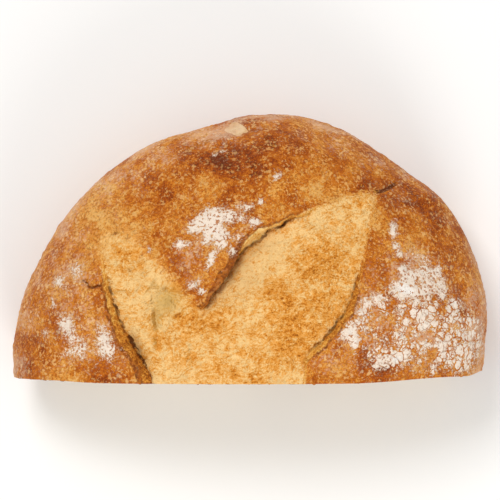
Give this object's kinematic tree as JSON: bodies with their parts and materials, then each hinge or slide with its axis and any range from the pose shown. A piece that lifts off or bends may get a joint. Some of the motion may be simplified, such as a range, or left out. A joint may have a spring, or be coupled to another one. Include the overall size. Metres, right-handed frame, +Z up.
{
  "type": "half sourdough loaf",
  "caption": "Half of a round sourdough loaf: domed scored crown with raised ears, flat baked base and one flat sawn face across the middle.",
  "frame": {"origin": "on the surface that the baked base rests on, under the middle of the loaf's box", "axes": "+X along the sawn face, +Y from the sawn face towards the round back, +Z up through the crown"},
  "size_m": [0.2294, 0.1286, 0.0935],
  "materials": {
    "crust": "baked crust, golden to dark brown, with patches of dry flour",
    "crumb": "cut bread crumb, cream, open and matt"
  },
  "bodies": {
    "root": {"half_loaf": "crust"}
  },
  "joints": []
}
